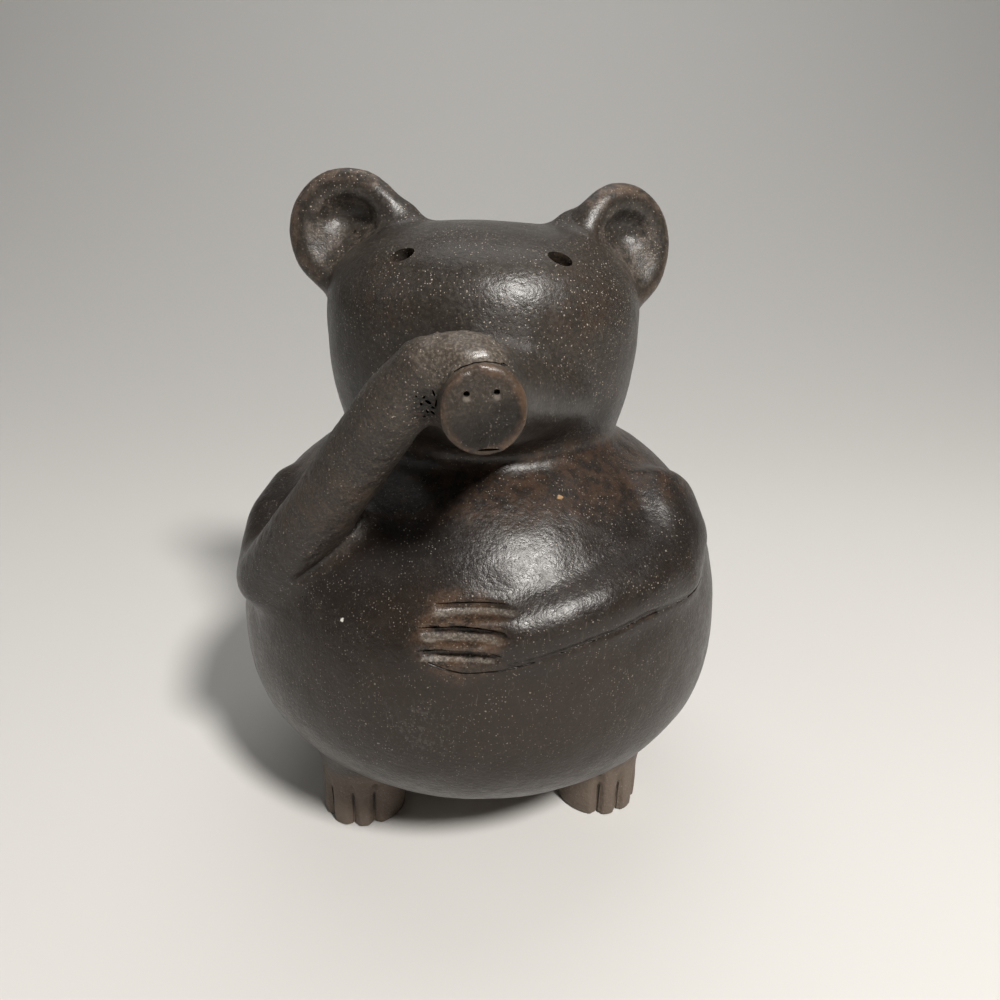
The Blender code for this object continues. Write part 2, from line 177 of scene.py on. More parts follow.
def pot(name, centre, radius, top, bottom, top_fullness, bottom_fullness, segments=96, rings=48):
    """A turned mass: a ball whose rings are drawn out one by one to a fuller profile."""
    ob = ball(name, (0, 0, 0), (1, 1, 1), segments=segments, rings=rings)
    levels = {}
    for vert in ob.data.vertices:
        levels.setdefault(round(vert.co.z / MM, 4), []).append(vert.index)
    bpy.ops.object.mode_set(mode="EDIT")
    for level, members in levels.items():
        t = math.asin(max(-1.0, min(1.0, level)))
        fullness = top_fullness if t > 0 else bottom_fullness
        height = top if t > 0 else bottom
        across = max(math.cos(t), 1e-6)
        wide = radius * across ** (2 / fullness - 1)
        high = math.copysign(height * abs(math.sin(t)) ** (2 / fullness), t)
        clay = bmesh.from_edit_mesh(ob.data)
        clay.verts.ensure_lookup_table()
        for vert in clay.verts:
            vert.select_set(False)
        for index in members:
            clay.verts[index].select_set(True)
        clay.select_flush(False)
        bmesh.update_edit_mesh(ob.data)
        bpy.ops.transform.resize(value=(wide, wide, 1), center_override=(0, 0, 0))
        bpy.ops.transform.translate(value=(0, 0, (high - level) * MM))
    bpy.ops.mesh.select_all(action="SELECT")
    bpy.ops.transform.translate(value=Vector(centre) * MM)
    bpy.ops.object.mode_set(mode="OBJECT")
    return ob


def turn_picked(turn, pivot):
    """Turns what is picked in edit mode about a point, one axis after the other."""
    for axis, angle in zip("XYZ", turn.to_euler("XYZ")):
        if abs(angle) > 1e-5:
            bpy.ops.transform.rotate(value=-angle, orient_axis=axis, center_override=pivot)


def drawn(name, rings, sides=32):
    """A coil of clay drawn out ring by ring; a ring is (centre, half width, half thickness, turn)."""
    centre, wide, thick, turn = rings[0]
    pick_nothing()
    bpy.ops.mesh.primitive_circle_add(vertices=sides, radius=MM, fill_type="NGON",
                                      location=Vector(centre) * MM, rotation=turn.to_euler())
    ob = settle(name)
    bpy.ops.object.mode_set(mode="EDIT")
    bpy.ops.mesh.select_all(action="SELECT")
    bpy.ops.transform.resize(value=(wide, thick, 1), orient_type="GLOBAL", orient_matrix=turn,
                             orient_matrix_type="GLOBAL", center_override=Vector(centre) * MM)
    for next_centre, next_wide, next_thick, next_turn in rings[1:]:
        step = (Vector(next_centre) - Vector(centre)) * MM
        pivot = Vector(next_centre) * MM
        bpy.ops.mesh.extrude_region_move(TRANSFORM_OT_translate={"value": step})
        turn_picked(next_turn @ turn.transposed(), pivot)
        bpy.ops.transform.resize(value=(next_wide / wide, next_thick / thick, 1), orient_type="GLOBAL",
                                 orient_matrix=next_turn, orient_matrix_type="GLOBAL", center_override=pivot)
        centre, wide, thick, turn = next_centre, next_wide, next_thick, next_turn
    bpy.ops.mesh.select_all(action="SELECT")
    bpy.ops.mesh.normals_make_consistent(inside=False)
    bpy.ops.object.mode_set(mode="OBJECT")
    return ob


def facing(normal, up=Vector((0, 0, 1)), roll=0.0):
    """A turn whose own Z is the outward direction, with X across and Y up, then rolled."""
    z = Vector(normal).normalized()
    x = up.cross(z).normalized()
    y = z.cross(x)
    return Matrix((x, y, z)).transposed() @ Matrix.Rotation(math.radians(roll), 3, "Z")


def limb(name, stations, side, sides=32, blunt=0.8, normals=None):
    """A limb through (centre, half width, half thickness), square to its own path, with round ends."""
    points = [Vector(s[0]) for s in stations]
    rings = []
    for k, (point, wide, thick) in enumerate(stations):
        along = (points[min(k + 1, len(points) - 1)] - points[max(k - 1, 0)]).normalized()
        if normals:
            x = normals[k].cross(along).normalized()
        else:
            x = (Vector(side) - along * along.dot(Vector(side))).normalized()
        turn = Matrix((x, along.cross(x), along)).transposed()
        point = Vector(point)
        reach = min(wide, thick) * blunt
        if k == 0:
            for t in (86, 68, 48, 25):
                c, s = math.cos(math.radians(t)), math.sin(math.radians(t))
                rings.append((point - along * reach * s, wide * c, thick * c, turn))
        rings.append((point, wide, thick, turn))
        if k == len(stations) - 1:
            for t in (25, 48, 68, 86):
                c, s = math.cos(math.radians(t)), math.sin(math.radians(t))
                rings.append((point + along * reach * s, wide * c, thick * c, turn))
    return drawn(name, rings, sides)


def together(name, obs):
    """Gathers pieces into one mesh, still as separate closed shapes."""
    pick_nothing()
    for ob in obs:
        ob.select_set(True)
    bpy.context.view_layer.objects.active = obs[0]
    bpy.ops.object.join()
    obs[0].name = name
    return obs[0]


def work(ob, kind, **settings):
    """One modifier, set and applied."""
    pick(ob)
    bpy.ops.object.modifier_add(type=kind)
    modifier = ob.modifiers[-1]
    for key, value in settings.items():
        setattr(modifier, key, value)
    bpy.ops.object.modifier_apply(modifier=modifier.name)


def carve(ob, tool):
    """Takes the tool's shape out of the clay."""
    work(ob, "BOOLEAN", operation="DIFFERENCE", solver="MANIFOLD", object=tool)
    bpy.data.objects.remove(tool)


def block(name, centre, half, turn=Matrix.Identity(3)):
    """A square block of clay, used for flat cuts."""
    pick_nothing()
    bpy.ops.mesh.primitive_cube_add(size=2 * MM, scale=half, location=Vector(centre) * MM,
                                    rotation=turn.to_euler())
    return settle(name)


def body_radius(z):
    """Half width of the body at a height."""
    rise = z - BODY_Z
    height, fullness = (BODY_TOP, BODY_TOP_FULLNESS) if rise > 0 else (BODY_BOTTOM, BODY_BOTTOM_FULLNESS)
    return BODY_R * max(0.0, 1 - min(1.0, abs(rise) / height) ** fullness) ** (1 / fullness)


def on_body(azimuth, rise, out=0.0):
    """A point of the body's skin and the way it faces, by azimuth and height as a share of the dome."""
    z = BODY_Z + rise * BODY_TOP
    r = body_radius(z)
    slope = body_radius(z + 0.5) - body_radius(z - 0.5)
    a = math.radians(azimuth)
    normal = Vector((math.sin(a), -math.cos(a), -slope)).normalized()
    return Vector((r * math.sin(a), -r * math.cos(a), z)) + normal * out, normal


def head_radius(rise):
    """Half width of the head, by height above its middle."""
    height, fullness = (HEAD_TOP, HEAD_TOP_FULLNESS) if rise > 0 else (HEAD_BOTTOM, HEAD_BOTTOM_FULLNESS)
    return HEAD_R * max(0.0, 1 - min(1.0, abs(rise) / height) ** fullness) ** (1 / fullness)


def on_head(azimuth, rise):
    """A point of the head's skin and the way it faces, by azimuth and height above its middle."""
    r = head_radius(rise)
    slope = head_radius(rise + 0.5) - head_radius(rise - 0.5)
    a = math.radians(azimuth)
    normal = Vector((math.sin(a), -math.cos(a), -slope)).normalized()
    return HEAD + Vector((r * math.sin(a), -r * math.cos(a), rise)), normal


def snout_look():
    """The direction that the flat end of the snout looks in."""
    turn = math.radians(SNOUT_TURN)
    tilt = math.radians(SNOUT_TILT)
    return Vector((math.sin(turn) * math.cos(tilt), -math.cos(turn) * math.cos(tilt), math.sin(tilt)))


# The masses

def muzzle():
    """Flares out of the cheeks and chin, below the forehead, and narrows to the snout."""
    root = Vector((0, HEAD.y, HEAD.z - 3.1))
    shape = ((0.36, 3.35, 1.45, 9.6), (0.44, 2.90, 1.40, 8.2), (0.52, 2.42, 1.33, 6.8), (0.60, 1.98, 1.25, 5.2),
             (0.68, 1.62, 1.18, 3.7), (0.76, 1.33, 1.13, 2.2), (0.83, 1.14, 1.08, 0.9), (0.90, 1.02, 1.02, 0.1),
             (1.04, 1.0, 1.0, 0.0))
    stations = [(root.lerp(SNOUT_TIP, t) - Vector((0, 0, drop)), SNOUT_HALF_WIDTH * w, SNOUT_HALF_HEIGHT * h)
                for t, w, h, drop in shape]
    return limb("muzzle", stations, (1, 0, 0), sides=48, blunt=0.1)


def ear_turn(turn_out):
    """The way an ear looks: to the front, turned out, and a little up."""
    return facing(Vector((math.sin(math.radians(turn_out)), -math.cos(math.radians(turn_out)), 0.10)))


def ear(name, centre, turn_out):
    """A thick round with a root that runs down into the head, hollowed with a broad thumb."""
    turn = ear_turn(turn_out)
    disc = ball(name, centre, (EAR_R, EAR_R, EAR_HALF_THICKNESS * 1.12), turn)
    inward = (HEAD - centre).normalized()
    roll = math.degrees(math.atan2(inward.z, inward.x)) + 90
    root = ball(name + "_root", centre + inward * EAR_R * 0.62,
                (EAR_R * 0.93, EAR_R * 0.5, EAR_HALF_THICKNESS * 1.1),
                turn @ Matrix.Rotation(math.radians(roll), 3, "Z"))
    work(disc, "BOOLEAN", operation="UNION", solver="MANIFOLD", object=root)
    bpy.data.objects.remove(root)
    front = centre + turn @ Vector((0, -0.6, EAR_HALF_THICKNESS * 1.12 + 8.0 - EAR_HOLLOW_DEPTH))
    carve(disc, ball(name + "_thumb", front, (EAR_HOLLOW_R, EAR_HOLLOW_R, 8.0), turn))
    return disc


def thumb_tip(name, centre, turn_out):
    """The last press of the thumb's tip, deep under the top of the rim."""
    turn = ear_turn(turn_out)
    return ball(name, centre + turn @ Vector((0.3, 3.2, 2.6)), (6.6, 4.6, 4.6), turn)


def beside(point, angle, radius, back):
    """A place beside a point, by its angle from the right, its distance and how far back it is."""
    a = math.radians(angle)
    return Vector(point) + Vector((radius * math.cos(a), back, radius * math.sin(a)))


def hand_stations():
    """The hand laid over the snout, from the wrist to the fingertips."""
    over_snout = ((152, 1.42, 9.2), (131, 1.33, 8.2), (112, 1.20, 7.9), (91, 1.10, 8.4), (66, 1.02, 9.8))
    stations = []
    for k, (angle, share, back) in enumerate(over_snout):
        centre = beside(GRIP, angle, GRIP_R * share, back)
        wide = HAND_WIDTH * (1.0, 1.0, 1.0, 0.94, 0.80)[k]
        thick = HAND_THICKNESS * (1.9, 1.3, 1.05, 0.95, 0.85)[k]
        stations.append((centre, wide, thick))
    return stations


def raised_arm():
    """Shoulder, elbow, the free forearm and the hand."""
    stations = []
    for t, out in ((0.0, -4.8), (0.38, -3.0), (1.0, -1.0)):
        radius = 7.2 + 0.5 * t
        stations.append((on_body(-79.0 + 25.2 * t, 0.66 - 0.27 * t, out)[0], radius, radius))
    elbow = stations[-1][0]
    palm = hand_stations()
    away = Vector((0.4, -0.5, -0.6))
    for t, push, r in ((0.17, 0.6, 7.7), (0.42, 0.6, 6.9), (0.66, 0.4, 6.62), (0.87, 0.2, 6.3)):
        stations.append((elbow.lerp(palm[0][0], t) + away * push, r, r))
    return [limb("upper_arm", stations[:3], (0, 1, 0)), limb("forearm", stations[2:] + palm[:1], (0, 1, 0)),
            limb("hand", palm, (0, 1, 0))]


def relief_arm():
    """The arm laid across the belly, half sunk in the body."""
    path = ((66, 0.72, 1.0, 1.35), (60, 0.60, 1.0, 1.35), (52, 0.51, 0.86, 1.15), (40, 0.49, 0.66, 1.0),
            (27, 0.455, 0.63, 1.0), (17, 0.42, 0.60, 0.95), (8, 0.39, 0.63, 0.85), (-1, 0.375, 0.68, 0.75),
            (-7, 0.373, 0.60, 0.60))
    stations = []
    normals = []
    for azimuth, rise, wide, high in path:
        centre, normal = on_body(azimuth, rise, RELIEF_LIFT * high - RELIEF_DEPTH)
        stations.append((centre, RELIEF_HALF_WIDTH * wide, RELIEF_DEPTH))
        normals.append(normal)
    return limb("relief_arm", stations, None, normals=normals, blunt=1.2)


def foot(place):
    """A stub that flares up into the belly; it starts below the floor and is cut flat later."""
    x, y = place
    shape = ((-0.115, 0.95), (0.0, 0.97), (0.115, 1.0), (0.31, 1.0), (0.54, 1.07), (0.77, 1.28), (1.0, 1.41))
    stations = []
    for share, k in shape:
        lean = 1 - 0.05 * share
        stations.append((Vector((x * lean, y * lean, FOOT_TOP * share)), FOOT_R * k, FOOT_R * k * 1.02))
    return limb("foot", stations, (1, 0, 0), sides=48, blunt=0.15)


def line_tool(name, points, radius):
    """A thin round tool drawn along a line."""
    return limb(name, [(p, radius, radius) for p in points], (0.3, 0.2, 1.0), sides=12)


def relief_line(lift, out):
    """The line under the arm in relief, from the shoulder to the fingertips."""
    line = ((62, 0.375), (56, 0.362), (52, 0.361), (48, 0.366), (45, 0.37), (41, 0.372), (38, 0.372),
            (34, 0.367), (31, 0.36), (28, 0.353), (25, 0.345), (21, 0.332), (17, 0.318), (13, 0.302),
            (10, 0.288), (5, 0.27), (1, 0.264), (-2, 0.262), (-5, 0.270), (-8, 0.286))
    return [on_body(azimuth, rise + lift, out)[0] for azimuth, rise in line]


def finger_cuts(out, half, higher=0.0):
    """Three blades between the fingers, tipped up so that the lower wall of each cut faces the light."""
    tools = []
    for k, aside, share in ((1, 2.3, 0.93), (0, 0.0, 1.0), (-1, 0.0, 1.0)):
        rise = FINGERS[1] + (k * FINGER_PITCH + higher) / BODY_TOP
        centre, normal = on_body(FINGERS[0] + aside, rise, out)
        tipped = facing(normal - Vector((0, 0, 0.6)), roll=2.0)
        tools.append(ball("finger_cut", centre, (half[0] * share, half[1], half[2]), tipped, rings=16))
    return tools


def toe_tools(radius, inset, top):
    """The lines between the toes."""
    tools = []
    for place, angles in zip(FEET, TOES):
        for angle in angles:
            out = Vector((math.sin(math.radians(angle)), -math.cos(math.radians(angle)), 0))
            points = [Vector((place[0], place[1], z)) + out * (FOOT_R * k - inset)
                      for z, k in ((-1.0, 0.98), (4.0, 0.98), (8.0, 1.0), (top, 1.06))]
            tools.append(line_tool("toe", points, radius))
    return tools


def crease_tool(angles, radius, thick, back):
    """A blade laid round the snout where the hand grips it."""
    stations = []
    for angle in angles:
        deeper = back + 0.6 * abs(angle - 105) / 60
        stations.append((beside(SNOUT_TIP, angle, radius, deeper), 2.2, thick))
    return limb("crease", stations, (0, 1, 0), sides=16)


def on_face(across, up, out=0.0):
    """A place on the flat end of the snout."""
    return SNOUT_TIP + facing(snout_look()) @ Vector((across, up, out))


def soft_tools():
    """Lines and dents pressed while the clay was soft."""
    tools = [line_tool("relief_line", relief_line(0.010, 1.2), 0.9)]
    tools += toe_tools(1.35, 0.2, 12.0)
    for share in (-0.62, -0.12, 0.34):
        points = []
        for centre, wide, thick in hand_stations()[1:]:
            away = Vector((centre.x - GRIP.x, 0, centre.z - GRIP.z)).normalized()
            lift = thick * math.sqrt(1 - share * share) + 0.1
            points.append(centre + away * lift + Vector((0, share * wide, 0)))
        tools.append(line_tool("finger_line", points, 0.9))
    tools.append(crease_tool((178, 160, 142, 124, 106, 88, 70, 54, 40), 7.7, 0.5, 2.8))
    turn = facing(snout_look())
    for sign in (-1, 1):
        place = on_face(sign * NOSTRIL_SPACING + NOSTRIL_ASIDE, 2.75 + sign * NOSTRIL_LIFT, 0.5)
        tools.append(ball("nostril", place, (1.05, 1.15, 0.95), turn, segments=24, rings=12))
    tools += finger_cuts(1.2, (9.8, 1.5, 2.5))
    fold = ((-35.4, -44.5, 73.3), (-32.7, -45.0, 75.6), (-30.1, -45.1, 77.7), (-27.7, -45.1, 79.9),
            (-25.5, -44.8, 82.2), (-23.7, -43.3, 84.2), (-22.5, -40.8, 86.0))
    tools.append(line_tool("elbow_fold", fold, 1.0))
    return tools


def crisp_tools():
    """Cuts and holes made with a blade or a point in firmer clay."""
    tools = finger_cuts(0.8, (8.6, 0.36, 2.5), 0.55)
    tools.append(line_tool("relief_cut", relief_line(0.006, 0.34), 0.27))
    tools += toe_tools(0.42, 1.35, 9.5)
    tools.append(crease_tool((128, 115, 102, 89, 76, 63), 7.35, 0.10, 2.0))
    tools.append(crease_tool((66, 57, 48, 39, 31), 7.42, 0.27, 2.0))
    turn = facing(snout_look())
    for sign in (-1, 1):
        place = on_face(sign * NOSTRIL_SPACING + NOSTRIL_ASIDE, 3.0 + sign * NOSTRIL_LIFT)
        tools.append(ball("nostril", place, (0.52, 0.46, 1.5), turn, segments=24, rings=12))
    tools.append(ball("mouth", on_face(0.9, -5.75, -0.1), (1.8, 0.20, 0.9), turn, segments=32, rings=12))
    pits = ((-7.9, -62.6, 115.5, 0.34, 0.62, 35), (-7.3, -62.6, 114.5, 0.70, 0.36, 20),
            (-7.8, -60.9, 112.9, 0.40, 0.66, -25), (-6.8, -61.2, 112.5, 0.62, 0.30, 40),
            (-6.0, -64.2, 114.6, 0.22, 0.80, 12), (-6.4, -64.2, 116.3, 0.20, 0.62, -18),
            (-8.6, -62.3, 114.0, 0.26, 0.30, 0), (-8.3, -59.9, 111.6, 0.50, 0.24, -35),
            (-9.3, -62.9, 115.4, 0.24, 0.18, 60), (-6.6, -62.6, 113.6, 0.30, 0.40, 70))
    for x, y, z, wide, tall, roll in pits:
        turned = Matrix.Rotation(math.radians(roll), 3, "Y")
        tools.append(ball("pit", (x, y, z), (wide, 0.9, tall), turned, segments=10, rings=6))
    turn = ear_turn(LEFT_EAR_TURN)
    tools.append(ball("pinhole", LEFT_EAR + turn @ Vector((1.0, 0.6, 0.0)), (0.28, 0.6, 1.6), turn,
                      segments=12, rings=8))
    return tools


def eye_tool(sign):
    """A blade pushed right through the wall: a lens with two sharp corners."""
    place, normal = on_head(sign * 31.3, 14.3)
    turn = facing(normal, roll=-sign * 27.0)
    outer = place + turn @ Vector((0, 0, 2.0))
    inner = place + turn @ Vector((0, 0, -WALL * 1.7))
    return drawn("eye", [(outer, 2.95, 2.2, turn), (place, 2.65, 1.92, turn), (inner, 2.2, 1.4, turn)], sides=32)


def hollow():
    """The kiln hollow of body and head."""
    body = pot("hollow", (0, 0, BODY_Z), BODY_R - WALL, BODY_TOP - WALL, BODY_BOTTOM - WALL,
               BODY_TOP_FULLNESS, BODY_BOTTOM_FULLNESS, segments=48, rings=24)
    head = pot("head_hollow", HEAD, HEAD_R - WALL, HEAD_TOP - WALL, HEAD_BOTTOM - WALL,
               HEAD_TOP_FULLNESS, HEAD_BOTTOM_FULLNESS, segments=40, rings=20)
    work(body, "BOOLEAN", operation="UNION", solver="MANIFOLD", object=head)
    bpy.data.objects.remove(head)
    return body


def uneven(clay):
    """The slight unevenness that hands leave everywhere, and the rougher skin of the forearm and hand."""
    elbow = on_body(*ELBOW)[0]
    wrist = hand_stations()[1][0]
    way = (wrist - elbow).normalized()
    everywhere = clay.vertex_groups.new(name="everywhere")
    arm = clay.vertex_groups.new(name="forearm")
    everywhere.add(range(len(clay.data.vertices)), 1.0, "REPLACE")
    for vert in clay.data.vertices:
        place = vert.co / MM
        step = max(0.0, min((wrist - elbow).length, (place - elbow).dot(way)))
        off = (place - elbow - way * step).length
        if off < 12.0:
            share = min(1.0, (12.0 - off) / 3.0) * min(1.0, max(0.15, step / 18.0))
            arm.add([vert.index], share, "REPLACE")
    marks = (("palms", 11.0, 0.42, "everywhere"), ("fingertips", 4.5, 0.16, "everywhere"),
             ("rough_skin", 1.6, 0.34, "forearm"))
    for name, size, strength, group in marks:
        cloud = bpy.data.textures.new(name, "CLOUDS")
        cloud.noise_scale = size * MM
        cloud.noise_depth = 1
        work(clay, "DISPLACE", texture=cloud, texture_coords="LOCAL", strength=strength * MM, mid_level=0.5,
             vertex_group=group)
    clay.vertex_groups.clear()


def without_crumbs(clay):
    """Brushes off the loose crumbs that fine cuts leave."""
    pick(clay)
    bpy.ops.object.mode_set(mode="EDIT")
    bpy.ops.mesh.select_all(action="SELECT")
    bpy.ops.mesh.separate(type="LOOSE")
    bpy.ops.object.mode_set(mode="OBJECT")
    *crumbs, clay = sorted(bpy.context.selected_objects, key=lambda ob: len(ob.data.vertices))
    for crumb in crumbs:
        bpy.data.objects.remove(crumb)
    clay.name = "clay_pig"
    return clay


def model_figurine():
    """Builds, softens and carves the whole piece."""
    masses = [pot("figurine", (0, 0, BODY_Z), BODY_R, BODY_TOP, BODY_BOTTOM, BODY_TOP_FULLNESS,
                  BODY_BOTTOM_FULLNESS),
              pot("head", HEAD, HEAD_R, HEAD_TOP, HEAD_BOTTOM, HEAD_TOP_FULLNESS, HEAD_BOTTOM_FULLNESS),
              muzzle(), relief_arm()]
    masses += raised_arm()
    masses += [foot(place) for place in FEET]
    ears = [ear("left_ear", LEFT_EAR, LEFT_EAR_TURN), ear("right_ear", RIGHT_EAR, RIGHT_EAR_TURN)]
    clay = together("clay_pig", masses + ears)
    work(clay, "REMESH", mode="VOXEL", voxel_size=COARSE * MM)
    work(clay, "SMOOTH", factor=0.5, iterations=14)
    clay = together("clay_pig", [clay, limb("fingers", hand_stations(), (0, 1, 0))])
    work(clay, "REMESH", mode="VOXEL", voxel_size=MIDDLING * MM)
    carve(clay, thumb_tip("left_tip", LEFT_EAR, LEFT_EAR_TURN))
    carve(clay, thumb_tip("right_tip", RIGHT_EAR, RIGHT_EAR_TURN))
    work(clay, "REMESH", mode="VOXEL", voxel_size=MIDDLING * MM)
    work(clay, "SMOOTH", factor=0.5, iterations=8)
    look = snout_look()
    carve(clay, block("snout_wire", SNOUT_TIP + look * 8.0, (14, 14, 8), facing(look)))
    for tool in soft_tools():
        carve(clay, tool)
    work(clay, "REMESH", mode="VOXEL", voxel_size=FINE * MM)
    work(clay, "SMOOTH", factor=0.5, iterations=6)
    uneven(clay)
    thinning = min(1.0, SKIN_FACES / (2 * len(clay.data.polygons)))
    work(clay, "DECIMATE", decimate_type="COLLAPSE", ratio=thinning)
    carve(clay, block("floor_wire", (0, 0, -10.0), (90, 90, 10)))
    carve(clay, together("crisp_tools", crisp_tools()))
    carve(clay, hollow())
    carve(clay, together("eyes", [eye_tool(-1), eye_tool(1)]))
    clay = without_crumbs(clay)
    pick(clay)
    bpy.ops.object.mode_set(mode="EDIT")
    bpy.ops.mesh.select_all(action="SELECT")
    bpy.ops.transform.translate(value=AXIS * MM)
    bpy.ops.mesh.normals_make_consistent(inside=False)
    bpy.ops.object.mode_set(mode="OBJECT")
    bpy.ops.object.shade_smooth_by_angle(angle=math.radians(CRISP_EDGE))
    return clay


# Shader maths: a socket that takes part in plain sums.

class Value:
    """A number that varies over the clay."""

    def __init__(self, bench, socket):
        self.bench = bench
        self.socket = socket

    def sum_with(self, operation, *others, flipped=False):
        values = [self, *others]
        if flipped:
            values.reverse()
        return self.bench.add("ShaderNodeMath", {"operation": operation}, dict(enumerate(values)))

    def __add__(self, other):
        return self.sum_with("ADD", other)

    def __radd__(self, other):
        return self.sum_with("ADD", other)

    def __sub__(self, other):
        return self.sum_with("SUBTRACT", other)

    def __rsub__(self, other):
        return self.sum_with("SUBTRACT", other, flipped=True)

    def __mul__(self, other):
        return self.sum_with("MULTIPLY", other)

    def __rmul__(self, other):
        return self.sum_with("MULTIPLY", other)

    def __truediv__(self, other):
        return self.sum_with("DIVIDE", other)

    def __pow__(self, other):
        return self.sum_with("POWER", other)

    def most(self, other):
        """The greater of the two."""
        return self.sum_with("MAXIMUM", other)

    def least(self, other):
        """The smaller of the two."""
        return self.sum_with("MINIMUM", other)

    def clear_of(self, low, high):
        """0 below low, 1 above high, and smooth between them."""
        settings = {"interpolation_type": "SMOOTHSTEP", "clamp": True}
        inputs = {"Value": self, "From Min": low, "From Max": high}
        return self.bench.add("ShaderNodeMapRange", settings, inputs)

    def within(self, low, high, soft):
        """1 between low and high, 0 outside."""
        return self.clear_of(low - soft, low + soft) * (1 - self.clear_of(high - soft, high + soft))


class Bench:
    """Lays out one material's nodes."""

    def __init__(self, name):
        self.material = bpy.data.materials.new(name)
        self.material.use_nodes = True
        self.tree = self.material.node_tree
        self.shader = self.tree.nodes["Principled BSDF"]
        self.place = self.add("ShaderNodeTexCoord", {}, {}, "Object")

    def feed(self, socket, value):
        """Links a value that varies, or sets one that doesn't."""
        if isinstance(value, Value):
            self.tree.links.new(value.socket, socket)
        else:
            socket.default_value = value

    def add(self, kind, settings, inputs, output=0):
        """One node of any type, with its settings, then its inputs, and one of its outputs."""
        node = self.tree.nodes.new(kind)
        for key, value in settings.items():
            setattr(node, key, value)
        for key, value in inputs.items():
            self.feed(node.inputs[key], value)
        return Value(self, node.outputs[output])

    def stretched(self, scale, turn=(0.0, 0.0, 0.0), vector=None):
        """The place on the clay, turned and stretched."""
        inputs = {"Vector": vector or self.place, "Scale": scale, "Rotation": turn}
        return self.add("ShaderNodeMapping", {}, inputs)

    def noise(self, size, detail=2.0, roughness=0.5, vector=None, output="Fac"):
        """Cloudy noise whose lumps are about that many millimetres across."""
        inputs = {"Vector": vector or self.place, "Scale": 1 / (size * MM), "Detail": detail,
                  "Roughness": roughness}
        return self.add("ShaderNodeTexNoise", {}, inputs, output)

    def blend(self, share, a, b):
        """From colour a to colour b."""
        settings = {"data_type": "RGBA", "clamp_factor": True}
        return self.add("ShaderNodeMix", settings, {0: share, 6: a, 7: b}, 2)

    def distance(self, point):
        """How far the surface is from a point, in millimetres."""
        spot = Vector(point) + AXIS
        inputs = {0: self.place, 1: tuple(spot * MM)}
        return self.add("ShaderNodeVectorMath", {"operation": "DISTANCE"}, inputs, "Value") * (1 / MM)

    def close_to(self, point, near, far):
        """1 nearer to a point than the first distance, 0 past the second."""
        return 1 - self.distance(point).clear_of(near, far)

    def shaken(self, drift, reach):
        """The place on the clay, pushed about by a coloured noise."""
        inputs = {0: drift, 1: (reach * MM, reach * MM, reach * MM), 2: self.place}
        return self.add("ShaderNodeVectorMath", {"operation": "MULTIPLY_ADD"}, inputs)

    def along(self, point, direction):
        """How far the surface lies beyond a point in one direction, in millimetres."""
        spot = Vector(point) + AXIS
        way = Vector(direction).normalized()
        inputs = {0: self.place, 1: tuple(way)}
        dot = self.add("ShaderNodeVectorMath", {"operation": "DOT_PRODUCT"}, inputs, "Value")
        return dot * (1 / MM) - spot.dot(way)


